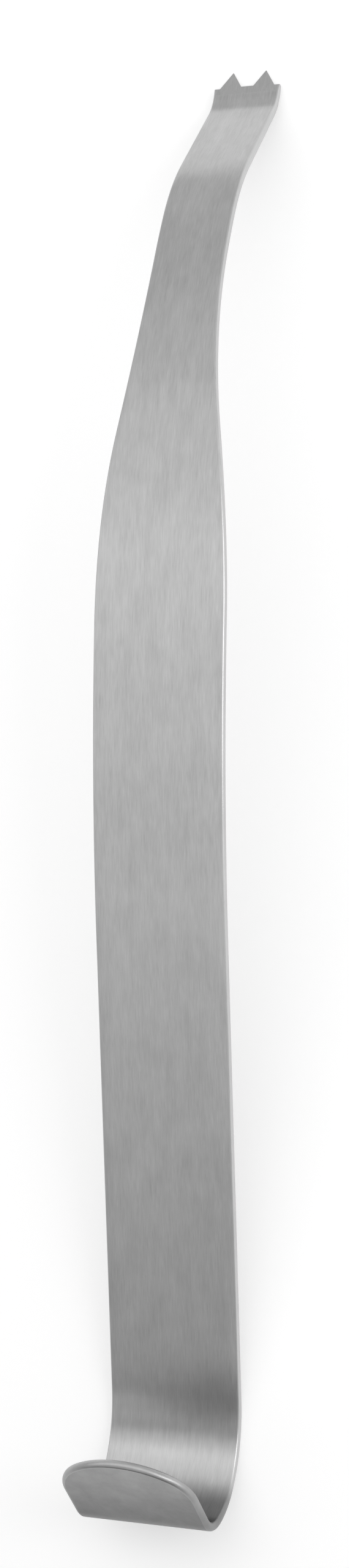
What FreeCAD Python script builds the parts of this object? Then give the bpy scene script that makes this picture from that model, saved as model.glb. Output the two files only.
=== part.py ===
import FreeCAD, Part

import math
import os
from dataclasses import dataclass

from FreeCAD import Placement, Rotation, Vector

# A hand-held bone retractor, bent from one strip of steel sheet. Millimetres and degrees.
# Its side profile is drawn in the Y-Z plane, front face upwards, and its width runs along X.
# At one end the strip curls into a hook with a half-round lip, at the other it narrows into
# a blade that is bent back and ground to a wedge with two teeth.

# Sheet
sheet = 1.8
edge_round = 0.4

# Outline. The blade's is seen square to the handle, and its length is measured from the tooth points.
handle_width = 28.0
blade_width = 15.6
tip_width = 14.9
blade_length = 40.0
shoulder_radius = 245.0
waist_radius = 228.0
lip_corner_radius = 11.0
lip_end_angle = 74.0

# Side profile, from the end of the lip to the tooth points.
# Each radius is that of the bend's hollow side.
lip_run = 20.4
curl_radius = 6.5
curl_angle = 60.1
bowl_radius = 13.5
bowl_angle = 35.2
sweep_radius = 21.4
sweep_angle = 44.2
handle_run = 93.7
belly_radius = 444.0
belly_angle = 10.7
neck_radius = 163.6
neck_angle = 24.3
crank_radius = 44.1
crank_angle = 20.0
crank_run = 21.9
tip_radius = 11.9
tip_angle = 36.3
tip_run = 4.1

# Ground wedge and teeth, measured back from the tooth points
facet_length = 6.1
point_thickness = 0.4
tooth_height = 4.1
tooth_pitch = 7.5
tooth_base = 4.9
notch_depth = 3.9

# How far the cutting shapes stand clear of the metal they remove
clear = 3.0

ACROSS = Vector(1, 0, 0)
FRONT = sheet / 2
BACK = -sheet / 2


@dataclass
class Station:
    """A place on the strip's middle line and the way the line runs there."""

    y: float
    z: float
    heading: float

    def beside(self, offset):
        """The point at this station, moved square to the line towards the front face."""
        return Vector(0, self.y - offset * math.sin(self.heading), self.z + offset * math.cos(self.heading))

    def ahead(self, length):
        """The station reached by a straight run."""
        y = self.y + length * math.cos(self.heading)
        z = self.z + length * math.sin(self.heading)
        return Station(y, z, self.heading)

    def placement(self):
        """Places a shape drawn with +Y along the strip and +Z out of its front face."""
        return Placement(Vector(0, self.y, self.z), Rotation(ACROSS, math.degrees(self.heading)))


@dataclass
class Run:
    """A straight length of the strip."""

    length: float

    def end(self, start):
        return start.ahead(self.length)

    def edge(self, start, offset):
        """The line along the run at an offset from the middle."""
        return Part.LineSegment(start.beside(offset), self.end(start).beside(offset)).toShape()


@dataclass
class Bend:
    """A bend, given by its hollow radius and angle: towards the front face where the angle is positive."""

    radius: float
    angle: float

    def centre(self, start):
        """The bend's axis, seen from the side."""
        reach = math.copysign(self.radius + sheet / 2, self.angle)
        return start.beside(reach)

    def part_way(self, start, share):
        """The station at a share of the bend's angle."""
        reach = math.copysign(self.radius + sheet / 2, self.angle)
        axis = self.centre(start)
        heading = start.heading + share * math.radians(self.angle)
        y = axis.y + reach * math.sin(heading)
        z = axis.z - reach * math.cos(heading)
        return Station(y, z, heading)

    def end(self, start):
        return self.part_way(start, 1)

    def edge(self, start, offset):
        """The arc round the bend at an offset from the middle."""
        points = [self.part_way(start, share).beside(offset) for share in (0, 0.5, 1)]
        return Part.Arc(*points).toShape()


sweep = Bend(sweep_radius, sweep_angle)
profile = [
    Run(lip_run),
    Bend(curl_radius, curl_angle),
    Bend(bowl_radius, bowl_angle),
    sweep,
    Run(handle_run),
    Bend(belly_radius, -belly_angle),
    Bend(neck_radius, -neck_angle),
    Bend(crank_radius, -crank_angle),
    Run(crank_run),
    Bend(tip_radius, tip_angle),
    Run(tip_run),
]

# The profile is drawn with its handle level, so its first heading points down the lip.
lip_end = Station(0, 0, -math.radians(curl_angle + bowl_angle + sweep_angle))


def stations():
    """The station at the start of each run and bend, and the one at the tooth points."""
    found = [lip_end]
    for step in profile:
        found.append(step.end(found[-1]))
    return found


def bent_strip():
    """The strip at full width, bent to its side profile."""
    found = stations()
    front = [step.edge(start, FRONT) for step, start in zip(profile, found)]
    back = [step.edge(start, BACK) for step, start in zip(profile, found)]
    lip_wall = Part.makeLine(found[0].beside(BACK), found[0].beside(FRONT))
    tip_wall = Part.makeLine(found[-1].beside(BACK), found[-1].beside(FRONT))
    side = Part.Face(Part.Wire(front + [tip_wall] + back[::-1] + [lip_wall]))
    side.translate(ACROSS * (-handle_width / 2))
    return side.extrude(ACROSS * handle_width)


def blade_waste(tip, handle_level):
    """What is cut from the right-hand side of the strip, seen square to the handle, to leave the blade."""
    narrowing = (handle_width - blade_width) / 2
    slope = math.acos(1 - narrowing / (shoulder_radius + waist_radius))
    edge_x = handle_width / 2
    blade_x = blade_width / 2
    blade_start = tip.y - blade_length
    taper_start = blade_start - (shoulder_radius + waist_radius) * math.sin(slope)

    def on_shoulder(angle):
        """A point on the arc that leaves the handle's edge."""
        x = edge_x - shoulder_radius * (1 - math.cos(angle))
        return Vector(x, taper_start + shoulder_radius * math.sin(angle), 0)

    def on_waist(angle):
        """A point on the arc that runs into the blade's edge."""
        x = blade_x + waist_radius * (1 - math.cos(angle))
        return Vector(x, blade_start - waist_radius * math.sin(angle), 0)

    tip_x = tip_width / 2 - (blade_width - tip_width) / 2 * clear / blade_length
    tip_corner = Vector(tip_x, tip.y + clear, 0)
    outer_tip = Vector(edge_x + clear, tip.y + clear, 0)
    outer_start = Vector(edge_x + clear, taper_start, 0)
    outline = [
        Part.Arc(on_shoulder(0), on_shoulder(slope / 2), on_shoulder(slope)).toShape(),
        Part.Arc(on_waist(slope), on_waist(slope / 2), on_waist(0)).toShape(),
        Part.makeLine(on_waist(0), tip_corner),
        Part.makeLine(tip_corner, outer_tip),
        Part.makeLine(outer_tip, outer_start),
        Part.makeLine(outer_start, on_shoulder(0)),
    ]
    waste = Part.Face(Part.Wire(outline))
    margin = sheet + clear
    waste.translate(Vector(0, 0, tip.z - margin))
    return waste.extrude(Vector(0, 0, handle_level - tip.z + 2 * margin))


def lip_waste():
    """The two corners that are cut from the lip to leave its round end, an arc between two tighter ones."""
    edge_x = handle_width / 2
    corner_x = edge_x - lip_corner_radius
    half_angle = math.radians(lip_end_angle / 2)
    end_radius = lip_corner_radius + corner_x / math.sin(half_angle)
    lip_depth = end_radius - (end_radius - lip_corner_radius) * math.cos(half_angle)
    corner = Vector(corner_x, lip_depth, 0)

    def on_corner(angle):
        """A point on the right-hand corner, at an angle from the one across the strip."""
        return corner + Vector(math.cos(angle), -math.sin(angle), 0) * lip_corner_radius

    corner_turn = math.pi / 2 - half_angle
    right = Part.Arc(on_corner(0), on_corner(corner_turn / 2), on_corner(corner_turn)).toShape()
    left = right.mirror(Vector(0, 0, 0), ACROSS)
    joint = on_corner(corner_turn)
    end = Part.Arc(joint, Vector(0, 0, 0), Vector(-joint.x, joint.y, 0)).toShape()
    outer = edge_x + clear
    border = Part.makePolygon([
        Vector(edge_x, lip_depth, 0),
        Vector(outer, lip_depth, 0),
        Vector(outer, -clear, 0),
        Vector(-outer, -clear, 0),
        Vector(-outer, lip_depth, 0),
        Vector(-edge_x, lip_depth, 0),
    ])
    waste = Part.Face(Part.Wire([right, end, left] + border.Edges))
    waste.translate(Vector(0, 0, -sheet))
    waste = waste.extrude(Vector(0, 0, 2 * sheet))
    waste.Placement = lip_end.placement()
    return waste


def wedge_waste(tip):
    """What is ground off the front face, from a crease in the last bend to thin tooth points."""
    into_bend = max(facet_length - tip_run, 0)
    crease_z = FRONT + tip_radius - math.sqrt(tip_radius ** 2 - into_bend ** 2)
    point_z = BACK + point_thickness
    end_z = point_z - (crease_z - point_z) * clear / facet_length
    side = Part.Face(Part.makePolygon([
        Vector(0, -facet_length, crease_z),
        Vector(0, clear, end_z),
        Vector(0, clear, crease_z + clear),
        Vector(0, -facet_length, crease_z + clear),
        Vector(0, -facet_length, crease_z),
    ]))
    side.translate(ACROSS * -handle_width)
    waste = side.extrude(ACROSS * (2 * handle_width))
    waste.Placement = tip.placement()
    return waste


def tooth_waste(tip):
    """What is cut from the strip's end to leave its two teeth."""
    outer = handle_width
    half_base = tooth_base / 2
    left = -tooth_pitch / 2
    right = tooth_pitch / 2
    notch_half = right - half_base * notch_depth / tooth_height
    outline = Part.makePolygon([
        Vector(-outer, -tooth_height, 0),
        Vector(left - half_base, -tooth_height, 0),
        Vector(left, 0, 0),
        Vector(-notch_half, -notch_depth, 0),
        Vector(notch_half, -notch_depth, 0),
        Vector(right, 0, 0),
        Vector(right + half_base, -tooth_height, 0),
        Vector(outer, -tooth_height, 0),
        Vector(outer, clear, 0),
        Vector(-outer, clear, 0),
        Vector(-outer, -tooth_height, 0),
    ])
    waste = Part.Face(outline)
    waste.translate(Vector(0, 0, -sheet))
    waste = waste.extrude(Vector(0, 0, 2 * sheet))
    waste.Placement = tip.placement()
    return waste


def runs_lengthwise(edge):
    """Whether an edge runs along the strip or round its lip, and not straight across or through it."""
    box = edge.BoundBox
    straight_across = box.YLength + box.ZLength < edge_round
    through_sheet = edge.Length < sheet + edge_round
    return not (straight_across or through_sheet)


def resting_tilt(sweep_start, tip):
    """The slope of the line that touches the hook's back below and the tooth points."""
    heel = sweep.centre(sweep_start)
    heel_radius = sweep_radius + sheet
    points = tip.beside(BACK)
    reach = math.hypot(points.y - heel.y, points.z - heel.z)
    return math.atan2(points.z - heel.z, points.y - heel.y) + math.asin(heel_radius / reach)


found = stations()
sweep_start, handle_start = found[3], found[4]
tip = found[-1]
body = bent_strip()
right_waste = blade_waste(tip, handle_start.z)
left_waste = right_waste.mirror(Vector(0, 0, 0), ACROSS)
body = body.cut([right_waste, left_waste, lip_waste()])
body = body.makeFillet(edge_round, [edge for edge in body.Edges if runs_lengthwise(edge)])
body = body.cut([wedge_waste(tip), tooth_waste(tip)])

# The instrument lies on its back, on the hook's back and the tooth points.
tilt = resting_tilt(sweep_start, tip)
body.rotate(Vector(0, 0, 0), ACROSS, -math.degrees(tilt))
box = body.optimalBoundingBox(False)
body.translate(Vector(-box.Center.x, -box.Center.y, -box.ZMin))

os.makedirs("parts", exist_ok=True)
body.exportStep("parts/retractor.step")
print("retractor", body.isValid(), len(body.Solids), body.Volume, box.XLength, box.YLength, box.ZLength)
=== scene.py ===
"""Looks of a hand-held bone retractor, which is one bent strip of brushed steel sheet.

The strip is drawn flat as a blank, with its rounded end, tapered blade and teeth. A Geometry Nodes
tree then bends it as the maker's brake and mandrels do, one bend after another. All lengths are in
metres.
"""

import logging
import math
from collections.abc import Mapping, Sequence
from dataclasses import dataclass
from enum import Enum

import bmesh
import bpy
from mathutils import Euler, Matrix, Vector


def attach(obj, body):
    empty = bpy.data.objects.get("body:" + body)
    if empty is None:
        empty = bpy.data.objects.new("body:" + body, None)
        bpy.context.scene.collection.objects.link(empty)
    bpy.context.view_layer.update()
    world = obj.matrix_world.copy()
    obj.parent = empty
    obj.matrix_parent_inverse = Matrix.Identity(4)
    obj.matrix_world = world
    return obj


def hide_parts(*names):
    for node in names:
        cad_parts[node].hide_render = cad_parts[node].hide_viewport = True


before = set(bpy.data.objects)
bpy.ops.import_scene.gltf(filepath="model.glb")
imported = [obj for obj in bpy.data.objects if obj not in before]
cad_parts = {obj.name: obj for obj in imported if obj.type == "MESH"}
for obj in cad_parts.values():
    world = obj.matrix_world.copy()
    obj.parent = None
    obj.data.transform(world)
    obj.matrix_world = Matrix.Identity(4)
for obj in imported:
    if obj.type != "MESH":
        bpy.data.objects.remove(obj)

MM = 0.001
LOG = logging.getLogger("retractor")

# The layer of the mesh that says how each face was worked.
SURFACE_NAME = "surface"

# The UV map lays the front, the back and the edges out flat, this far apart from one another.
UV_NAME = "sheet_uv"
UV_APART = 0.1

# What a node's input gets: a value or a name, or another node's output.
Source = float | str | tuple[float, ...] | bpy.types.NodeSocket
Sources = Mapping[int | str, Source]

# A row of the mesh's points, and those of both rounded edges: the left (-1) and the right one (1).
Row = list[bmesh.types.BMVert]
RimRow = dict[int, Row]


class Surface(Enum):
    """How each part of the strip's surface was worked. The values mark the mesh's faces."""

    BRUSHED = 0
    POLISHED = 1
    GROUND = 2


def add_sockets(tree: bpy.types.NodeTree, in_out: str, kind: str, *names: str) -> None:
    """Adds inputs or outputs of one kind to a node tree."""
    for name in names:
        tree.interface.new_socket(name, in_out=in_out, socket_type=f"NodeSocket{kind}")


class NodeDesk:
    """Adds nodes to a tree and joins them, so that a tree reads as a list of steps."""

    def __init__(self, tree: bpy.types.NodeTree) -> None:
        """Takes the tree that the nodes go into.

        Args:
            tree: A shader or geometry node tree.
        """
        self.tree = tree

    def feed(self, node: bpy.types.Node, sources: Sources) -> None:
        """Gives a node's inputs values, or joins them to other nodes' outputs.

        Args:
            node: The node.
            sources: What each input gets, by the input's name or number.
        """
        for socket, source in sources.items():
            if isinstance(source, bpy.types.NodeSocket):
                self.tree.links.new(source, node.inputs[socket])
            else:
                node.inputs[socket].default_value = source

    def add(
        self,
        kind: str,
        sources: Sources | None = None,
        **settings: object,
    ) -> bpy.types.Node:
        """Adds one node.

        Args:
            kind: The node's type name in Blender.
            sources: What its inputs get, by their names or numbers.
            settings: Properties of the node, by name.

        Returns:
            The new node.
        """
        node = self.tree.nodes.new(kind)
        for name, value in settings.items():
            setattr(node, name, value)
        self.feed(node, sources or {})
        return node

    def result(
        self,
        kind: str,
        sources: Sequence[Source],
        **settings: object,
    ) -> bpy.types.NodeSocket:
        """The first output of a new node whose inputs get the sources in order."""
        return self.add(kind, dict(enumerate(sources)), **settings).outputs[0]

    def maths(self, operation: str, *sources: Source) -> bpy.types.NodeSocket:
        """The result of an operation on numbers."""
        return self.result("ShaderNodeMath", sources, operation=operation)

    def vector(self, operation: str, *sources: Source) -> bpy.types.NodeSocket:
        """The vector from an operation on vectors."""
        return self.result("ShaderNodeVectorMath", sources, operation=operation)

    def combine(self, x: Source, y: Source, z: Source) -> bpy.types.NodeSocket:
        """The vector, or the colour, made of three numbers."""
        return self.result("ShaderNodeCombineXYZ", (x, y, z))

    def parts(self, vector: Source) -> dict[str, bpy.types.NodeSocket]:
        """The three numbers of a vector, by the names x, y and z."""
        outputs = self.add("ShaderNodeSeparateXYZ", {0: vector}).outputs
        return {output.name.lower(): output for output in outputs}

    def mix(self, share: Source, first: Source, second: Source) -> bpy.types.NodeSocket:
        """The mix of two numbers: the first at a share of 0, the second at a share of 1."""
        sources = {0: share, 2: first, 3: second}
        return self.add("ShaderNodeMix", sources, data_type="FLOAT").outputs[0]

    def remap(
        self,
        value: Source,
        span: tuple[Source, Source],
        to_span: tuple[float, float] = (0.0, 1.0),
        course: str = "LINEAR",
    ) -> bpy.types.NodeSocket:
        """Maps a number from one span to another and holds it there.

        Args:
            value: The number.
            span: The values that give the first and the second end of the result.
            to_span: The two ends of the result.
            course: How it runs from one end to the other, by its name in Blender.

        Returns:
            The mapped number.
        """
        sources = (value, *span, *to_span)
        return self.result("ShaderNodeMapRange", sources, clamp=True, interpolation_type=course)


def new_material(name: str) -> tuple[bpy.types.Material, NodeDesk, bpy.types.Node]:
    """Starts a material.

    Args:
        name: The material's name.

    Returns:
        The material, a desk to work on its nodes, and its shader.
    """
    material = bpy.data.materials.new(name)
    material.use_nodes = True
    tree = material.node_tree
    return material, NodeDesk(tree), tree.nodes["Principled BSDF"]


def add_object(name: str, data: bpy.types.ID) -> bpy.types.Object:
    """Adds an object to the scene.

    Args:
        name: The object's name.
        data: Its mesh, lamp or camera.

    Returns:
        The object.
    """
    made = bpy.data.objects.new(name, data)
    bpy.context.scene.collection.objects.link(made)
    return made


def add_mesh(name: str, work: bmesh.types.BMesh) -> bpy.types.Object:
    """Adds an object with a mesh that was worked on, and frees the work.

    Args:
        name: The object's name, and its mesh's.
        work: The worked mesh.

    Returns:
        The object.
    """
    data = bpy.data.meshes.new(name)
    work.to_mesh(data)
    work.free()
    return add_object(name, data)


@dataclass(frozen=True)
class Bend:
    """One bend of the strip.

    Attributes:
        name: What the bend is called.
        start: Where it starts, along the middle line from the lip's end.
        radius: The radius of its hollow side.
        angle: How far it turns in degrees, towards the front face where positive.
    """

    name: str
    start: float
    radius: float
    angle: float

    def length(self, sheet: float) -> float:
        """The bend's length along the middle line, for a sheet of that thickness."""
        return (self.radius + sheet / 2) * abs(math.radians(self.angle))


@dataclass(frozen=True)
class Profile:
    """The strip's side profile, from the end of the lip to the tooth points."""

    sheet: float = 1.8 * MM
    lip_run: float = 20.4 * MM
    handle_run: float = 93.7 * MM
    crank_run: float = 21.9 * MM
    tip_run: float = 4.1 * MM
    lip_place: tuple[float, float, float] = (0.0, -139.299 * MM, 34.35 * MM)
    lip_heading: float = -125.362

    def bends(self) -> list[Bend]:
        """The bends in order, each set where the run or bend before it ends.

        Returns:
            The seven bends from the hook to the tip.
        """
        steps = [
            self.lip_run,
            ("curl", 6.5 * MM, 60.1),
            ("bowl", 13.5 * MM, 35.2),
            ("sweep", 21.4 * MM, 44.2),
            self.handle_run,
            ("belly", 444.0 * MM, -10.7),
            ("neck", 163.6 * MM, -24.3),
            ("crank", 44.1 * MM, -20.0),
            self.crank_run,
            ("tip", 11.9 * MM, 36.3),
        ]
        place = 0.0
        found = []
        for step in steps:
            if isinstance(step, tuple):
                name, radius, angle = step
                found.append(Bend(name, place, radius, angle))
                place += found[-1].length(self.sheet)
            else:
                place += step
        return found

    def tip_start(self) -> float:
        """Where the last straight run starts, along the middle line."""
        last = self.bends()[-1]
        return last.start + last.length(self.sheet)

    def total(self) -> float:
        """The strip's developed length, to the tooth points."""
        return self.tip_start() + self.tip_run


@dataclass(frozen=True)
class Wedge:
    """The facet that is ground on the front face towards the tooth points."""

    length: float = 6.1 * MM
    point_thickness: float = 0.4 * MM

    def front_height(self, profile: Profile, along: float) -> float:
        """The front surface's height over the middle line, at a distance from the lip's end.

        Args:
            profile: The strip's side profile.
            along: The distance from the lip's end along the middle line.

        Returns:
            Half the sheet, or less where the facet has taken metal off.
        """
        half = profile.sheet / 2
        back = profile.total() - along
        if back > self.length:
            return half
        hollow = profile.bends()[-1].radius
        into_bend = max(self.length - profile.tip_run, 0.0)
        crease_z = half + hollow - math.sqrt(hollow ** 2 - into_bend ** 2)
        slope = (self.point_thickness - half - crease_z) / self.length
        middle = hollow + half
        turn = max(back - profile.tip_run, 0.0) / middle
        y = -min(back, profile.tip_run) - middle * math.sin(turn)
        z = middle * (1 - math.cos(turn))
        height = crease_z + slope * (y + self.length) - z
        return min(half, height / (math.cos(turn) - slope * math.sin(turn)))


@dataclass(frozen=True)
class Outline:
    """The flat blank's outline: round lip, parallel handle, tapered blade and two teeth."""

    handle_width: float = 28.0 * MM
    blade_width: float = 15.6 * MM
    tip_width: float = 14.94 * MM
    taper_start: float = 212.1 * MM
    shoulder_radius: float = 258.0 * MM
    waist_radius: float = 267.0 * MM
    lip_corner_radius: float = 11.0 * MM
    lip_end_angle: float = 74.0
    edge_round: float = 0.4 * MM
    side_round_down: float = 0.72 * MM
    lip_round_in: float = 0.75 * MM
    lip_round_down: float = 0.88 * MM
    lip_round_fades: tuple[float, float] = (22.0 * MM, 40.0 * MM)
    tooth_height: float = 4.1 * MM
    tooth_pitch: float = 7.5 * MM
    tooth_base: float = 4.9 * MM
    notch_depth: float = 3.9 * MM

    def rounding(self, along: float) -> tuple[float, float]:
        """How far the edge's rounding reaches in and down, which is furthest round the lip.

        Args:
            along: The distance from the lip's end.

        Returns:
            Its reach in from the outline, and its reach down from each face.
        """
        near, far = self.lip_round_fades
        share = min(max((far - along) / (far - near), 0.0), 1.0)
        share = share ** 2 * (3 - 2 * share)
        reach_in = self.edge_round + share * (self.lip_round_in - self.edge_round)
        reach_down = self.side_round_down + share * (self.lip_round_down - self.side_round_down)
        return reach_in, reach_down

    def taper_slope(self) -> float:
        """The steepest angle of the taper, where its two arcs meet."""
        narrowing = (self.handle_width - self.blade_width) / 2
        return math.acos(1 - narrowing / (self.shoulder_radius + self.waist_radius))

    def taper_end(self) -> float:
        """Where the taper ends, along the strip."""
        reach = (self.shoulder_radius + self.waist_radius) * math.sin(self.taper_slope())
        return self.taper_start + reach

    def edge(self, along: float, tip_end: float) -> tuple[float, float]:
        """The half width and the edge's slope at a distance from the lip's end, past the round lip.

        Args:
            along: The distance from the lip's end.
            tip_end: The distance of the tooth points.

        Returns:
            Half the width, and how fast it falls with the distance.
        """
        wide = self.handle_width / 2
        narrow = self.blade_width / 2
        middle = self.taper_start + self.shoulder_radius * math.sin(self.taper_slope())
        end = self.taper_end()
        if along <= self.taper_start:
            found = wide, 0.0
        elif along <= middle:
            sine = (along - self.taper_start) / self.shoulder_radius
            cosine = math.sqrt(1 - sine ** 2)
            found = wide - self.shoulder_radius * (1 - cosine), sine / cosine
        elif along <= end:
            sine = (end - along) / self.waist_radius
            cosine = math.sqrt(1 - sine ** 2)
            found = narrow + self.waist_radius * (1 - cosine), sine / cosine
        else:
            fall = (narrow - self.tip_width / 2) / (tip_end - end)
            found = narrow - fall * (along - end), fall
        return found

    def lip_points(self) -> list[tuple[Vector, Vector]]:
        """The right-hand half of the lip's round end, from its middle to the straight edge.

        Returns:
            Points of the outline, each with the direction that faces away from the metal.
        """
        corner_x = self.handle_width / 2 - self.lip_corner_radius
        half_angle = math.radians(self.lip_end_angle / 2)
        end_radius = self.lip_corner_radius + corner_x / math.sin(half_angle)
        depth = end_radius - (end_radius - self.lip_corner_radius) * math.cos(half_angle)
        found = []
        end_steps = 14
        for step in range(end_steps):
            angle = half_angle * step / end_steps
            away = Vector((math.sin(angle), -math.cos(angle)))
            found.append((Vector((0, end_radius)) + away * end_radius, away))
        corner_steps = 18
        for step in range(corner_steps + 1):
            angle = half_angle + (math.pi / 2 - half_angle) * step / corner_steps
            away = Vector((math.sin(angle), -math.cos(angle)))
            found.append((Vector((corner_x, depth)) + away * self.lip_corner_radius, away))
        return found


class Blank:
    """Draws the flat blank as one closed mesh, with its rounded edges, its facet and its teeth."""

    ROUND_STEPS = 7
    ROW_STEP = 1.6 * MM
    FACET_ROW_STEP = 0.3 * MM
    TURN_STEP_DEG = 2.5
    SAME_PLACE = 0.001 * MM
    ROUND_OFF = 1e-6

    def __init__(self, profile: Profile, outline: Outline, wedge: Wedge) -> None:
        """Takes the sizes of the strip.

        Args:
            profile: The side profile, for the lengths that need finer faces.
            outline: The flat outline.
            wedge: The ground facet.
        """
        self.profile = profile
        self.outline = outline
        self.wedge = wedge
        self.mesh = bmesh.new()
        self.uv = self.mesh.loops.layers.uv.new(UV_NAME)
        self.mark = self.mesh.faces.layers.int.new(SURFACE_NAME)

    def shoulder(self) -> float:
        """Where the straight edges end beside the teeth, along the strip."""
        return self.profile.total() - self.outline.tooth_height

    def stations(self) -> list[float]:
        """Distances along the strip for the rows of faces, closer where it bends.

        Returns:
            Distances from the end of the round lip to the shoulder beside the teeth.
        """
        start = self.outline.lip_points()[-1][0].y
        end = self.shoulder()
        crease = self.profile.total() - self.wedge.length
        marks = [(start, self.ROW_STEP)]
        for bend in self.profile.bends():
            length = bend.length(self.profile.sheet)
            step = min(length / max(abs(bend.angle) / self.TURN_STEP_DEG, 1), self.ROW_STEP)
            marks += [(bend.start, step), (bend.start + length, self.ROW_STEP)]
        marks = [mark for mark in marks if mark[0] < end - self.SAME_PLACE]
        marks += [
            (crease, self.FACET_ROW_STEP),
            (self.outline.taper_start, self.ROW_STEP),
            (end, self.ROW_STEP),
        ]
        marks.sort()
        found = []
        for (low, step), (high, _) in zip(marks, marks[1:]):
            if high - low > self.SAME_PLACE:
                count = math.ceil((high - low) / step - self.ROUND_OFF)
                found += [low + (high - low) * index / count for index in range(count)]
        return found + [end]

    def columns(self) -> list[float]:
        """Shares of the flat face's half width where the lengthwise edges lie, from left to right.

        Returns:
            Shares from -1 to 1, with the teeth's corners and points among them.
        """
        half = self.outline.tip_width / 2 - self.outline.edge_round
        point = self.outline.tooth_pitch / 2
        base = self.outline.tooth_base / 2
        inner, outer = (point - base) / half, (point + base) / half
        middle = point / half
        right = [inner, (inner + middle) / 2, middle, (middle + outer) / 2, outer, 1.0]
        return [-share for share in reversed(right)] + [0.0] + right

    def rim_section(self, along: float) -> list[tuple[float, float]]:
        """The rounded edge's section, from the front face to the back face.

        Args:
            along: The distance from the lip's end.

        Returns:
            How far in from the outline each point lies, and its height.
        """
        half = self.profile.sheet / 2
        front = self.wedge.front_height(self.profile, along)
        reach_in, reach_down = self.outline.rounding(along)
        steps = self.ROUND_STEPS
        turns = [math.pi / 2 * step / steps for step in range(steps + 1)]
        upper = [
            (reach_in * (1 - math.sin(turn)), half - reach_down * (1 - math.cos(turn)))
            for turn in turns
        ]
        section = upper + [(inset, -height) for inset, height in reversed(upper)]
        return [(inset, min(height, front)) for inset, height in section]

    def build(self) -> bpy.types.Object:
        """Makes the blank.

        Returns:
            An object whose mesh lies flat, with the lip's end at the origin and the teeth along +Y.
        """
        tip_end = self.profile.total()
        places = self.outline.lip_points()[:-1]
        for along in self.stations():
            half_width, fall = self.outline.edge(along, tip_end)
            places.append((Vector((half_width, along)), Vector((1, fall)).normalized()))
        rims = [self.rim_row(point, away) for point, away in places]
        fronts = [self.face_row(rim, 0) for rim in rims]
        backs = [self.face_row(rim, -1) for rim in rims]
        self.join_faces(fronts, backs)
        self.join_rims(rims)
        self.close_tip(fronts[-1], backs[-1], rims[-1])
        bmesh.ops.recalc_face_normals(self.mesh, faces=self.mesh.faces)
        return add_mesh("retractor_blank", self.mesh)

    def rim_row(self, point: Vector, away: Vector) -> RimRow:
        """Adds the rounded edges' points on both sides of the strip, at one place of the outline.

        Args:
            point: The place on the right-hand outline.
            away: The direction there that faces away from the metal.

        Returns:
            The points from front to back, for the left side (-1) and the right side (1).
        """
        section = self.rim_section(point.y)
        row = {}
        for side in (-1, 1):
            if point.x < self.SAME_PLACE and side == 1:
                row[side] = row[-1]
                continue
            spots = [point - away * inset for inset, _ in section]
            row[side] = [
                self.mesh.verts.new((side * spot.x, spot.y, height))
                for spot, (_, height) in zip(spots, section)
            ]
        return row

    def face_row(self, rim: RimRow, end: int) -> Row:
        """Adds a row of points across a flat face, between the two rounded edges.

        Args:
            rim: The rounded edges' points at this place.
            end: Which end of them the row joins: 0 for the front, -1 for the back.

        Returns:
            The row from left to right, or its single point in the middle of the lip's end.
        """
        left, right = rim[-1][end], rim[1][end]
        if left is right:
            return [left]
        row = [left]
        for share in self.columns()[1:-1]:
            row.append(self.mesh.verts.new((right.co.x * share, right.co.y, right.co.z)))
        return row + [right]

    def add_face(self, corners: Row, surface: Surface) -> None:
        """Adds a face with its finish, and its place on the flat sheet as its UVs.

        Args:
            corners: The face's corners in order, in which a corner may come twice.
            surface: How the face was worked.
        """
        ring = [corner for index, corner in enumerate(corners) if corner is not corners[index - 1]]
        if len(ring) < 3:
            return
        face = self.mesh.faces.new(ring)
        face[self.mark] = surface.value
        face.smooth = True
        rim = surface is Surface.POLISHED
        behind = all(corner.co.z < 0 for corner in ring)
        for loop in face.loops:
            x, y, z = loop.vert.co
            across = x + z + 2 * UV_APART if rim else x + UV_APART * behind
            loop[self.uv].uv = (across, y)

    def join(self, near: Row, far: Row, surface: Surface) -> None:
        """Joins two rows with faces.

        Args:
            near: The first row, or the single point that all the faces meet in.
            far: The second row.
            surface: How the faces were worked.
        """
        if len(near) == 1:
            near = near * len(far)
        for index in range(len(far) - 1):
            self.add_face([near[index], near[index + 1], far[index + 1], far[index]], surface)

    def join_faces(self, fronts: list[Row], backs: list[Row]) -> None:
        """Joins the rows of the front and of the back with faces.

        Args:
            fronts: The front's rows, from the lip to the shoulder beside the teeth.
            backs: The back's rows.
        """
        crease = self.profile.total() - self.wedge.length
        for rows, is_front in ((fronts, True), (backs, False)):
            for near, far in zip(rows, rows[1:]):
                ground = is_front and near[-1].co.y > crease - self.SAME_PLACE
                self.join(near, far, Surface.GROUND if ground else Surface.BRUSHED)

    def join_rims(self, rims: list[RimRow]) -> None:
        """Joins the rounded edges' points with faces.

        Args:
            rims: The points at each place, from the lip to the shoulder beside the teeth.
        """
        for near, far in zip(rims, rims[1:]):
            for side in (-1, 1):
                self.join(near[side], far[side], Surface.POLISHED)

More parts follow.
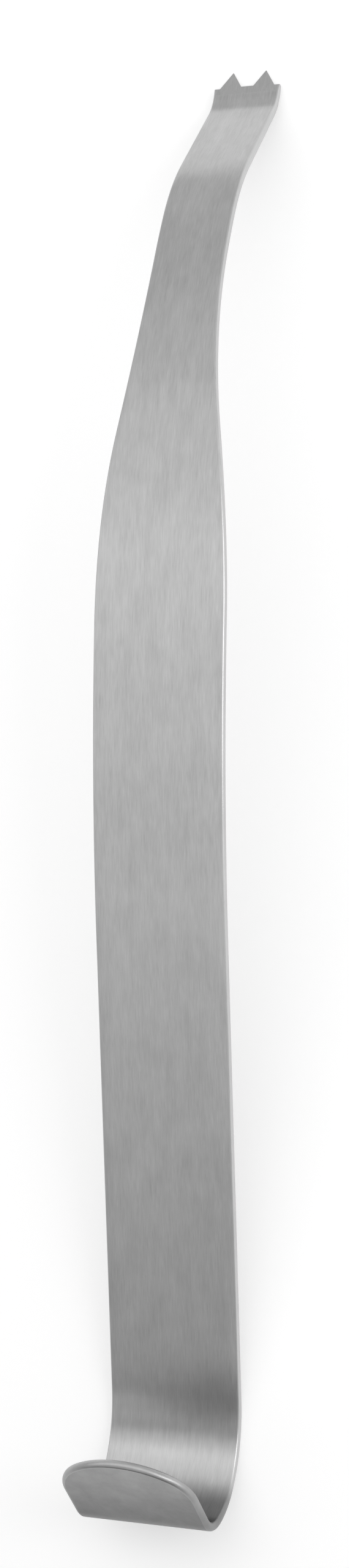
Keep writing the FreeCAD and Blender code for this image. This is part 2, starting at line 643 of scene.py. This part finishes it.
    def close_tip(self, front: Row, back: Row, rim: RimRow) -> None:
        """Adds the teeth and the end walls beside and between them.

        Args:
            front: The front's last row, at the shoulder beside the teeth.
            back: The back's last row.
            rim: The rounded edges' last points.
        """
        outline = self.outline
        point_x = outline.tooth_pitch / 2
        half_base = outline.tooth_base / 2
        rise = outline.tooth_height - outline.notch_depth
        fallen = half_base * rise / outline.tooth_height
        notch_half = point_x - half_base * outline.notch_depth / outline.tooth_height
        outer_x = point_x + half_base - fallen
        notch_y = self.shoulder() + rise
        inner_middle = (notch_half + point_x) / 2
        outer_middle = (point_x + outer_x) / 2
        half_row = [notch_half, inner_middle, point_x, outer_middle, outer_x]
        corners = len(half_row)
        walls = []
        for row, is_front in ((front, True), (back, False)):
            surface = Surface.GROUND if is_front else Surface.BRUSHED
            xs = [-x for x in reversed(half_row)] + [0.0] + half_row
            notch = [self.tip_point(x, notch_y, is_front) for x in xs]
            base = row[1:-1]
            self.join(base, notch, surface)
            left = self.tip_point(-point_x, self.profile.total(), is_front)
            right = self.tip_point(point_x, self.profile.total(), is_front)
            self.join(notch[:corners], [left] * corners, surface)
            self.join(notch[-corners:], [right] * corners, surface)
            gap = notch[corners - 1:-corners + 1]
            walls.append([base[0], notch[0], left, *gap, right, notch[-1], base[-1]])
        self.join(*walls, Surface.GROUND)
        left_end = [front[1], front[0], *rim[-1][1:-1], back[0], back[1]]
        right_end = [front[-2], front[-1], *rim[1][1:-1], back[-1], back[-2]]
        self.add_face(left_end, Surface.GROUND)
        self.add_face(right_end, Surface.GROUND)

    def tip_point(self, x: float, y: float, is_front: bool) -> bmesh.types.BMVert:
        """Adds a point of a tooth.

        Args:
            x: Its place across the strip.
            y: Its place along the strip.
            is_front: Whether it lies on the ground facet or on the back.

        Returns:
            The new point.
        """
        height = self.wedge.front_height(self.profile, y) if is_front else -self.profile.sheet / 2
        return self.mesh.verts.new((x, y, height))


class BendingTree:
    """The Geometry Nodes tree that bends the flat blank, one bend after another from tip to lip."""

    SIZES = ("start", "length", "angle")

    def __init__(self, profile: Profile) -> None:
        """Takes the strip's side profile.

        Args:
            profile: The bends and the place of the lip's end.
        """
        self.profile = profile

    def one_bend(self) -> bpy.types.GeometryNodeTree:
        """Builds the group for a single bend of what lies past its start.

        A point in the bend or past it keeps its offset from the middle line at its own station, or
        at the bend's end. That offset is turned, and set on the arc that the middle line takes.

        Returns:
            The node group.
        """
        tree = bpy.data.node_groups.new("bend_sheet", "GeometryNodeTree")
        add_sockets(tree, "INPUT", "Geometry", "Geometry")
        add_sockets(tree, "INPUT", "Float", "Along", "Start", "Length", "Angle")
        add_sockets(tree, "OUTPUT", "Geometry", "Geometry")
        desk = NodeDesk(tree)
        given = desk.add("NodeGroupInput").outputs
        past = desk.maths("SUBTRACT", given["Along"], given["Start"])
        clamped = desk.maths("MINIMUM", desk.maths("MAXIMUM", past, 0.0), given["Length"])
        share = desk.maths("DIVIDE", clamped, given["Length"])
        turn = desk.maths("MULTIPLY", share, given["Angle"])
        radius = desk.maths("DIVIDE", given["Length"], given["Angle"])
        ahead = desk.maths("MULTIPLY", radius, desk.maths("SINE", turn))
        from_cosine = desk.maths("SUBTRACT", 1.0, desk.maths("COSINE", turn))
        turned = desk.add("ShaderNodeVectorRotate", {
            "Vector": desk.add("GeometryNodeInputPosition").outputs[0],
            "Center": desk.combine(0.0, desk.maths("ADD", given["Start"], clamped), 0.0),
            "Angle": turn,
        }, rotation_type="X_AXIS")
        lift = desk.maths("MULTIPLY", radius, from_cosine)
        shift = desk.combine(0.0, desk.maths("SUBTRACT", ahead, clamped), lift)
        place = desk.add("GeometryNodeSetPosition", {
            "Geometry": given["Geometry"],
            "Position": desk.vector("ADD", turned.outputs[0], shift),
        })
        desk.add("NodeGroupOutput", {"Geometry": place.outputs[0]})
        return tree

    def build(self) -> bpy.types.GeometryNodeTree:
        """Builds the whole tree, with a start, a length and an angle as named inputs for each bend.

        Returns:
            The tree for the modifier.
        """
        single = self.one_bend()
        tree = bpy.data.node_groups.new("bend_retractor", "GeometryNodeTree")
        bends = self.profile.bends()
        add_sockets(tree, "INPUT", "Geometry", "Geometry")
        for bend in bends:
            add_sockets(tree, "INPUT", "Float", *(f"{bend.name} {size}" for size in self.SIZES))
        add_sockets(tree, "INPUT", "Vector", "lip place")
        add_sockets(tree, "INPUT", "Float", "lip heading")
        add_sockets(tree, "INPUT", "Material", *(self.finish_name(surface) for surface in Surface))
        add_sockets(tree, "OUTPUT", "Geometry", "Geometry")
        desk = NodeDesk(tree)
        given = desk.add("NodeGroupInput").outputs
        flat = desk.add("GeometryNodeCaptureAttribute")
        flat.capture_items.new("FLOAT", "along")
        position = desk.add("GeometryNodeInputPosition").outputs[0]
        desk.feed(flat, {"Geometry": given["Geometry"], "along": desk.parts(position)["y"]})
        strip = flat.outputs["Geometry"]
        for bend in reversed(bends):
            sizes = {size.capitalize(): given[f"{bend.name} {size}"] for size in self.SIZES}
            sources = {"Geometry": strip, "Along": flat.outputs["along"], **sizes}
            strip = desk.add("GeometryNodeGroup", sources, node_tree=single).outputs["Geometry"]
        rest = desk.add("GeometryNodeTransform", {
            "Geometry": strip,
            "Translation": given["lip place"],
            "Rotation": desk.combine(given["lip heading"], 0.0, 0.0),
        })
        strip = desk.result("GeometryNodeRealizeInstances", (rest.outputs[0],))
        mark = desk.add("GeometryNodeInputNamedAttribute", {"Name": SURFACE_NAME}, data_type="INT")
        for surface in Surface:
            # Inputs 2 and 3 are the ones for whole numbers.
            pair = {2: mark.outputs["Attribute"], 3: surface.value}
            chosen = desk.add("FunctionNodeCompare", pair, data_type="INT", operation="EQUAL")
            sources = (strip, chosen.outputs[0], given[self.finish_name(surface)])
            strip = desk.result("GeometryNodeSetMaterial", sources)
        desk.add("NodeGroupOutput", {"Geometry": strip})
        return tree

    def values(self, finishes: dict[Surface, bpy.types.Material]) -> dict[str, object]:
        """The value of each of the tree's inputs.

        Args:
            finishes: The material of each kind of surface.

        Returns:
            Values by the inputs' names.
        """
        found: dict[str, object] = {
            "lip place": self.profile.lip_place,
            "lip heading": math.radians(self.profile.lip_heading),
        }
        for bend in self.profile.bends():
            found[f"{bend.name} start"] = bend.start
            found[f"{bend.name} length"] = bend.length(self.profile.sheet)
            found[f"{bend.name} angle"] = math.radians(bend.angle)
        for surface, material in finishes.items():
            found[self.finish_name(surface)] = material
        return found

    @staticmethod
    def finish_name(surface: Surface) -> str:
        """The name of the input that takes a surface's material."""
        return f"{surface.name.lower()} finish"


class SteelEffects:
    """The node groups that the steel finishes share. Their sizes are in millimetres."""

    # How fine the fine, middle and broad layers of the grain are, across their lines and along.
    GRAIN_LAYERS = ((1.0, 1.0), (0.42, 0.6), (0.13, 0.25))
    LAYERS_APART = 3.7
    MIDDLE_SHARE = 0.4
    BROAD_SHARE = 0.25
    CLOUD_STRETCH = (1.0, 0.5, 1.0)
    # The parts of the noises' range that are spread from 0 to 1.
    NOISE_SPAN = (0.25, 0.75)
    HANDLING_SPAN = (0.45, 0.75)

    def __init__(self) -> None:
        """Builds the groups once."""
        self.grain = self.build_grain()
        self.clouds = self.build_clouds()
        self.satin_and_shade = self.build_satin_and_shade()
        self.painted_shade = self.build_painted_shade()

    @staticmethod
    def new_group(
        name: str,
        inputs: dict[str, float],
        outputs: Sequence[str],
    ) -> tuple[bpy.types.ShaderNodeTree, NodeDesk, bpy.types.NodeOutputs]:
        """Starts a group with a Vector input.

        Args:
            name: The group's name.
            inputs: Its number inputs with their usual values.
            outputs: The names of the numbers it puts out.

        Returns:
            The group, a desk to work on it, and what its inputs give.
        """
        group = bpy.data.node_groups.new(name, "ShaderNodeTree")
        add_sockets(group, "INPUT", "Vector", "Vector")
        add_sockets(group, "INPUT", "Float", *inputs)
        add_sockets(group, "OUTPUT", "Float", *outputs)
        for socket in group.interface.items_tree:
            if socket.name in inputs:
                socket.default_value = inputs[socket.name]
        desk = NodeDesk(group)
        return group, desk, desk.add("NodeGroupInput").outputs

    @staticmethod
    def in_millimetres(desk: NodeDesk, vector: Source) -> dict[str, bpy.types.NodeSocket]:
        """A place's three numbers in millimetres."""
        return desk.parts(desk.vector("MULTIPLY", vector, (1 / MM, 1 / MM, 1 / MM)))

    def build_grain(self) -> bpy.types.ShaderNodeTree:
        """Builds the brushed grain: lines along V of three widths, each broken up along its length.

        Returns:
            The group, whose outputs run from 0 to 1 about a middle of 0.5.
        """
        sizes = {"Line Width": 0.15, "Line Length": 12.0}
        group, desk, given = self.new_group("brushed_grain", sizes, ("Height", "Streak"))
        place = self.in_millimetres(desk, given["Vector"])
        across = desk.maths("DIVIDE", place["x"], given["Line Width"])
        length = desk.maths("DIVIDE", place["y"], given["Line Length"])
        layers = []
        for number, (fineness, stretch) in enumerate(self.GRAIN_LAYERS):
            layer_across = desk.maths("MULTIPLY", across, fineness)
            layer_length = desk.maths("MULTIPLY", length, stretch)
            noise = desk.add("ShaderNodeTexNoise", {
                "Vector": desk.combine(layer_across, layer_length, self.LAYERS_APART * number),
                "Scale": 1.0,
                "Detail": 1.0,
                "Roughness": 0.5,
            })
            layers.append(desk.remap(noise.outputs[0], self.NOISE_SPAN))
        fine, middle, broad = layers
        height = desk.mix(self.MIDDLE_SHARE, fine, middle)
        streak = desk.mix(self.BROAD_SHARE, height, broad)
        desk.add("NodeGroupOutput", {"Height": height, "Streak": streak})
        return group

    def build_clouds(self) -> bpy.types.ShaderNodeTree:
        """Builds the soft mottling of hand-finished steel, and the faint marks of handling on it.

        Returns:
            The group, whose outputs run from 0 to 1.
        """
        group, desk, given = self.new_group("soft_clouds", {"Size": 6.0}, ("Cloud", "Handling"))
        scale = desk.maths("DIVIDE", 1 / MM, given["Size"])
        stretched = desk.vector("MULTIPLY", given["Vector"], self.CLOUD_STRETCH)
        place = desk.vector("MULTIPLY", stretched, desk.combine(scale, scale, scale))
        shared = {"Vector": place, "Detail": 4.0}
        cloud = desk.add("ShaderNodeTexNoise", {**shared, "Scale": 1.0, "Roughness": 0.62})
        handling = desk.add("ShaderNodeTexNoise", {**shared, "Scale": 0.23, "Distortion": 0.6})
        desk.add("NodeGroupOutput", {
            "Cloud": desk.remap(cloud.outputs[0], self.NOISE_SPAN),
            "Handling": desk.remap(handling.outputs[0], self.HANDLING_SPAN),
        })
        return group

    def build_painted_shade(self) -> bpy.types.ShaderNodeTree:
        """Builds the mask of painted shade in the tightly bent end, where the hook's hollow and the
        lip's face lie in shade; a little of it is a duller finish that the polishing wheel hardly
        reaches.

        Returns:
            The group, whose mask rises from 0 at the lip's end to 1 in the curl, and falls to 0
            inside the hook.
        """
        sizes = {"Full": 20.0, "Fades": 33.0, "Ends": 38.5}
        group, desk, given = self.new_group("hook_dulling", sizes, ("Dull",))
        along = self.in_millimetres(desk, given["Vector"])["y"]
        rise = desk.maths("MINIMUM", desk.maths("DIVIDE", along, given["Full"]), 1.0)
        fade = desk.remap(along, (given["Fades"], given["Ends"]), (1.0, 0.0), "SMOOTHSTEP")
        desk.add("NodeGroupOutput", {"Dull": desk.maths("MULTIPLY", rise, fade)})
        return group

    def build_satin_and_shade(self) -> bpy.types.ShaderNodeTree:
        """Builds the mask of the lip's outer face and its rounded edge, which have a rougher satin
        finish and a darker grey that is partly painted shade.

        Returns:
            The group, whose mask is 1 on the lip and falls to 0 along the hook.
        """
        group, desk, given = self.new_group("lip_rub", {"Near": 24.0, "Far": 42.0}, ("Rubbed",))
        place = self.in_millimetres(desk, given["Vector"])
        fade = desk.remap(place["y"], (given["Near"], given["Far"]), (1.0, 0.0), "SMOOTHSTEP")
        off_front = desk.maths("GREATER_THAN", place["x"], UV_APART / 2 / MM)
        desk.add("NodeGroupOutput", {"Rubbed": desk.maths("MULTIPLY", fade, off_front)})
        return group


@dataclass(frozen=True)
class SteelFinish:
    """One finish of the steel.

    Attributes:
        name: The material's name.
        tone: The metal's grey.
        streak_spread: How far the grain's lines move that grey.
        cloud_spread: How far the mottling moves it.
        roughness: The smooth limit of the gloss.
        roughness_spread: How much rougher the streaks and the handled places are.
        anisotropy: How far the lines stretch a highlight across themselves.
        line_width: The width of the grain's lines in millimetres.
        line_length: Their length in millimetres.
        line_depth: How strongly they tilt the light.
        cloud_size: The size of the mottling in millimetres.
        line_relief: How deep the lines are cut.
        worn_span: The wear at which the gloss is smoothest, and at which it is roughest.
        satin_and_shade_tone: The grey of the lip's satin finish, darker than the rest partly as
            painted shade.
        rubbed_spread: How far the mottling moves that grey.
        rubbed_roughness: How matt the satin finish is.
        painted_shade_by: The share of its grey that painted shade takes off in the tightly bent
            end, where shade falls.
    """

    name: str
    tone: float
    streak_spread: float
    cloud_spread: float
    roughness: float
    roughness_spread: float
    anisotropy: float
    line_width: float
    line_length: float
    line_depth: float
    cloud_size: float
    line_relief: float = 0.01 * MM
    worn_span: tuple[float, float] = (0.1, 0.9)
    # The lip's darker grey is partly painted shade.
    satin_and_shade_tone: float = 0.39
    rubbed_spread: float = 0.05
    rubbed_roughness: float = 0.5
    # Painted shade: how much darker the grey is made in the hook's hollow and on the lip's face.
    painted_shade_by: float = 0.46

    def build(self, effects: SteelEffects) -> bpy.types.Material:
        """Builds the material.

        Args:
            effects: The shared node groups.

        Returns:
            The material.
        """
        material, desk, steel = new_material(self.name)
        sheet = {"Vector": desk.add("ShaderNodeUVMap", uv_map=UV_NAME).outputs[0]}
        place = {"Vector": desk.add("ShaderNodeTexCoord").outputs["Object"]}
        lines = {**sheet, "Line Width": self.line_width, "Line Length": self.line_length}
        grain = desk.add("ShaderNodeGroup", lines, node_tree=effects.grain).outputs
        mottling = {**place, "Size": self.cloud_size}
        clouds = desk.add("ShaderNodeGroup", mottling, node_tree=effects.clouds).outputs
        # The lip's mask brings a satin finish, and a darker grey that is partly painted shade.
        rubbed = desk.add("ShaderNodeGroup", sheet, node_tree=effects.satin_and_shade).outputs["Rubbed"]
        # Painted shade in the tightly bent end of the hook.
        painted_shade_mask = desk.add("ShaderNodeGroup", sheet, node_tree=effects.painted_shade).outputs["Dull"]
        lined = self.spread(desk, grain["Streak"], self.tone, self.streak_spread)
        mottled = self.spread(desk, clouds["Cloud"], 0.0, self.cloud_spread)
        # The lip's satin grey is darker than the face's, partly as painted shade.
        satin = self.spread(desk, clouds["Cloud"], self.satin_and_shade_tone, self.rubbed_spread)
        tone = desk.mix(rubbed, desk.maths("ADD", lined, mottled), satin)
        # Darkens the grey by the painted shade of the hook's hollow and the lip's face.
        left = desk.remap(painted_shade_mask, (0.0, 1.0), (1.0, 1.0 - self.painted_shade_by))
        grey = desk.maths("MULTIPLY", tone, left)
        worn = desk.mix(0.5, grain["Streak"], clouds["Handling"])
        roughest = self.roughness + self.roughness_spread
        rough = desk.remap(worn, self.worn_span, (self.roughness, roughest))
        bump = desk.add("ShaderNodeBump", {
            "Strength": self.line_depth,
            "Distance": self.line_relief,
            "Height": desk.mix(rubbed, grain["Height"], clouds["Cloud"]),
        })
        desk.feed(steel, {
            "Base Color": desk.combine(grey, grey, grey),
            "Metallic": 1.0,
            "Roughness": desk.mix(rubbed, rough, self.rubbed_roughness),
            "Anisotropic": self.anisotropy,
            "Normal": bump.outputs[0],
        })
        if self.anisotropy:
            tangent = desk.add("ShaderNodeTangent", direction_type="UV_MAP", uv_map=UV_NAME)
            desk.feed(steel, {"Tangent": tangent.outputs[0]})
        return material

    @staticmethod
    def spread(desk: NodeDesk, share: Source, middle: float, reach: float) -> bpy.types.NodeSocket:
        """A number that runs from below the middle, at a share of 0, to as far above it at 1."""
        return desk.remap(share, (0.0, 1.0), (middle - reach, middle + reach))


BRUSHED_FACE = SteelFinish(
    name="brushed_steel_face",
    tone=0.5,
    streak_spread=0.075,
    cloud_spread=0.03,
    roughness=0.28,
    roughness_spread=0.12,
    anisotropy=0.6,
    line_width=0.13,
    line_length=3.0,
    line_depth=0.5,
    cloud_size=4.0,
)
POLISHED_EDGE = SteelFinish(
    name="polished_steel_edge",
    tone=0.56,
    streak_spread=0.05,
    cloud_spread=0.02,
    roughness=0.32,
    roughness_spread=0.08,
    anisotropy=0.0,
    line_width=0.25,
    line_length=12.0,
    line_depth=0.2,
    cloud_size=4.0,
    # Partly painted shade: the lip's rounded edge is greyed down too.
    satin_and_shade_tone=0.48,
    rubbed_roughness=0.4,
)
GROUND_FACET = SteelFinish(
    name="ground_steel_facet",
    tone=0.49,
    streak_spread=0.06,
    cloud_spread=0.03,
    roughness=0.34,
    roughness_spread=0.08,
    anisotropy=0.0,
    line_width=0.14,
    line_length=2.5,
    line_depth=0.3,
    cloud_size=2.5,
)


@dataclass(frozen=True)
class Retractor:
    """The whole instrument, which is one bent strip.

    Attributes:
        profile: The side profile.
        outline: The flat blank's outline.
        wedge: The ground facet.
        crisp_deg: The angle between two ground faces past which their edge looks sharp.
    """

    profile: Profile = Profile()
    outline: Outline = Outline()
    wedge: Wedge = Wedge()
    crisp_deg: float = 20.0

    def finishes(self) -> dict[Surface, bpy.types.Material]:
        """Builds the three finishes.

        Returns:
            The material of each kind of surface.
        """
        effects = SteelEffects()
        return {
            Surface.BRUSHED: BRUSHED_FACE.build(effects),
            Surface.POLISHED: POLISHED_EDGE.build(effects),
            Surface.GROUND: GROUND_FACET.build(effects),
        }

    def bent(self, blank: bpy.types.Object) -> bpy.types.Object:
        """Bends the blank with the Geometry Nodes tree and keeps the result as a plain mesh.

        Args:
            blank: The flat blank, which is removed.

        Returns:
            The bent strip.
        """
        bending = BendingTree(self.profile)
        tree = bending.build()
        values = bending.values(self.finishes())
        modifier = blank.modifiers.new("bend_retractor", "NODES")
        modifier.node_group = tree
        for item in tree.interface.items_tree:
            if item.in_out == "INPUT" and item.name in values:
                modifier[item.identifier] = values[item.name]
        evaluated = blank.evaluated_get(bpy.context.evaluated_depsgraph_get())
        data = bpy.data.meshes.new_from_object(evaluated)
        blank.modifiers.remove(modifier)
        bpy.data.objects.remove(blank)
        data.name = "retractor_strip"
        for index in reversed(range(len(data.materials))):
            if data.materials[index] is None:
                data.materials.pop(index=index)
        return add_object("retractor_strip", data)

    def crisp_edges(self, strip: bpy.types.Object) -> None:
        """Marks the facet's crease and the teeth's edges as sharp, and leaves the rest smooth.

        Args:
            strip: The bent strip.
        """
        work = bmesh.new()
        work.from_mesh(strip.data)
        mark = work.faces.layers.int.get(SURFACE_NAME)
        for edge in work.edges:
            marks = {face[mark] for face in edge.link_faces}
            crisp = len(marks) > 1 or edge.calc_face_angle(0.0) > math.radians(self.crisp_deg)
            edge.smooth = not (Surface.GROUND.value in marks and crisp)
        work.to_mesh(strip.data)
        work.free()

    def build(self) -> bpy.types.Object:
        """Makes the finished strip and gives it to the CAD body.

        Returns:
            The piece that stands for the CAD node.
        """
        blank = Blank(self.profile, self.outline, self.wedge).build()
        strip = self.bent(blank)
        self.crisp_edges(strip)
        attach(strip, "root")
        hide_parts("retractor")
        return strip


@dataclass(frozen=True)
class Softbox:
    """A flat lamp with an even face.

    Attributes:
        name: The lamp's name.
        place: The middle of its face.
        size: Its extent along X and along Y, before it leans.
        radiance: How bright its face is, where 1 is white.
        lean_deg: How far it leans from looking straight down to looking towards -X.
    """

    name: str
    place: tuple[float, float, float]
    size: tuple[float, float]
    radiance: float
    lean_deg: float = 0.0

    def build(self) -> bpy.types.Object:
        """Adds the lamp.

        Returns:
            The lamp, which the camera doesn't see.
        """
        data = bpy.data.lights.new(self.name, "AREA")
        data.shape = "RECTANGLE"
        data.size, data.size_y = self.size
        data.energy = self.radiance * math.pi * self.size[0] * self.size[1]
        lamp = add_object(self.name, data)
        lamp.location = self.place
        lamp.rotation_euler = (0.0, math.radians(self.lean_deg), 0.0)
        lamp.visible_camera = False
        return lamp


@dataclass(frozen=True)
class Studio:
    """A round pale floor that curves up into a backdrop, under a soft sky and five softboxes.

    Attributes:
        floor_radius: How far out the floor is flat.
        sweep_radius: The radius of the curve that leads up to the backdrop.
        wall_height: The backdrop's height.
        paper_tone: The grey that the paper shows to the light.
        paper_white: What lifts it to white for the eye and in reflections.
        sky_stops: Angles from straight up towards the teeth, each with the sky's brightness there.
        sky_sides: Its brightness towards -X and +X.
        sky_sides_span: Where the one runs into the other, as sines of the angle to the side.
        lamps: The softboxes. The first three overlap, and so are brightest in the middle.
    """

    floor_radius: float = 3.4
    sweep_radius: float = 0.7
    wall_height: float = 0.9
    paper_tone: float = 0.75
    paper_white: float = 0.43
    sky_stops: tuple[tuple[float, float], ...] = (
        (-70.0, 0.05), (-40.0, 0.26), (-30.0, 0.83), (0.0, 0.07), (60.0, 0.74),
    )
    sky_sides: float = 0.5
    sky_sides_span: tuple[float, float] = (0.5, 0.8)
    lamps: tuple[Softbox, ...] = (
        Softbox("wide_softbox", (0.0, 0.16, 0.51), (1.6, 0.88), 0.3),
        Softbox("middle_softbox", (0.0, 0.115, 0.505), (1.6, 0.45), 0.35),
        Softbox("core_softbox", (0.0, 0.095, 0.5), (1.6, 0.13), 0.16),
        Softbox("strip_softbox", (0.12, 0.046, 0.45), (1.26, 0.105), 0.16),
        Softbox("side_softbox", (0.8, 0.08, 0.45), (0.8, 0.34), 2.2, 62.0),
    )

    def build(self) -> bpy.types.Object:
        """Builds the floor with its backdrop, the sky and the lamps.

        Returns:
            The floor and backdrop, which are one sheet.
        """
        cove = self.cove()
        self.sky()
        for lamp in self.lamps:
            lamp.build()
        return cove

    def cove(self) -> bpy.types.Object:
        """Builds the floor and backdrop by turning their section round the Z axis.

        Returns:
            The floor and backdrop.
        """
        flat_shares, sweep_steps, round_steps = (0.25, 0.5, 1.0), 16, 96
        section = [(self.floor_radius * share, 0.0) for share in flat_shares]
        for step in range(1, sweep_steps + 1):
            turn = math.pi / 2 * step / sweep_steps
            out = self.floor_radius + self.sweep_radius * math.sin(turn)
            section.append((out, self.sweep_radius * (1 - math.cos(turn))))
        section.append((self.floor_radius + self.sweep_radius, self.wall_height))
        work = bmesh.new()
        centre = work.verts.new((0, 0, 0))
        turns = [2 * math.pi * step / round_steps for step in range(round_steps)]
        rings = [
            [work.verts.new((out * math.cos(turn), out * math.sin(turn), height)) for turn in turns]
            for out, height in section
        ]
        for step in range(round_steps):
            following = (step + 1) % round_steps
            work.faces.new((centre, rings[0][step], rings[0][following]))
            for near, far in zip(rings, rings[1:]):
                work.faces.new((near[step], far[step], far[following], near[following]))
        for face in work.faces:
            face.smooth = True
        cove = add_mesh("studio_cove", work)
        cove.data.materials.append(self.paper())
        return cove

    def paper(self) -> bpy.types.Material:
        """Builds the white paper, lifted to white for the eye and in reflections.

        Returns:
            The material, which still takes shadows.
        """
        material, desk, paper = new_material("studio_paper")
        path = desk.add("ShaderNodeLightPath").outputs
        seen = desk.maths("MAXIMUM", path["Is Camera Ray"], path["Is Glossy Ray"])
        seen = desk.maths("MAXIMUM", seen, path["Is Transmission Ray"])
        desk.feed(paper, {
            "Base Color": (self.paper_tone, self.paper_tone, self.paper_tone, 1.0),
            "Roughness": 0.9,
            "Specular IOR Level": 0.1,
            "Emission Color": (1.0, 1.0, 1.0, 1.0),
            "Emission Strength": desk.maths("MULTIPLY", seen, self.paper_white),
        })
        return material

    def sky(self) -> None:
        """Builds the soft light all round, in bands across the strip and even at its sides."""
        world = bpy.data.worlds.new("studio_sky")
        bpy.context.scene.world = world
        world.use_nodes = True
        tree = world.node_tree
        desk = NodeDesk(tree)
        toward = desk.parts(desk.add("ShaderNodeTexCoord").outputs["Generated"])
        lean = desk.maths("ARCTAN2", toward["y"], toward["z"])
        ramp = desk.add("ShaderNodeValToRGB", {0: desk.remap(lean, (-math.pi / 2, math.pi / 2))})
        stops = ramp.color_ramp.elements
        while len(stops) < len(self.sky_stops):
            stops.new(0.5)
        for stop, (degrees, level) in zip(stops, self.sky_stops):
            stop.position = (degrees + 90) / 180
            stop.color = (level, level, level, 1.0)
        aside = desk.remap(desk.maths("ABSOLUTE", toward["x"]), self.sky_sides_span)
        level = desk.mix(aside, ramp.outputs[0], self.sky_sides)
        sources = {"Color": desk.combine(level, level, level), "Strength": 1.0}
        desk.feed(tree.nodes["Background"], sources)


@dataclass(frozen=True)
class PhotoCamera:
    """The camera, where the photographer's stood."""

    place: tuple[float, float, float] = (0.186556, -0.06931, 0.516448)
    turn_deg: tuple[float, float, float] = (8.0259, 20.2696, 3.3882)
    lens_mm: float = 60.26
    sensor_mm: float = 36.0

    def build(self) -> bpy.types.Object:
        """Adds the camera and makes it the scene's.

        Returns:
            The camera.
        """
        data = bpy.data.cameras.new("photo_camera")
        data.lens = self.lens_mm
        data.sensor_width = self.sensor_mm
        data.clip_start, data.clip_end = 0.01, 50.0
        camera = add_object("photo_camera", data)
        camera.location = self.place
        camera.rotation_euler = Euler([math.radians(angle) for angle in self.turn_deg])
        bpy.context.scene.camera = camera
        return camera


def main() -> None:
    """Builds the instrument, then the studio and the camera."""
    logging.basicConfig(level=logging.INFO, format="%(name)s: %(message)s")
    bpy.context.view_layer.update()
    bpy.context.scene.view_settings.view_transform = "Standard"
    strip = Retractor().build()
    LOG.info("%s has %d faces", strip.name, len(strip.data.polygons))
    cove = Studio().build()
    LOG.info("%s stands round it", cove.name)
    camera = PhotoCamera().build()
    LOG.info("%s looks at it", camera.name)


if __name__ == "__main__":
    main()
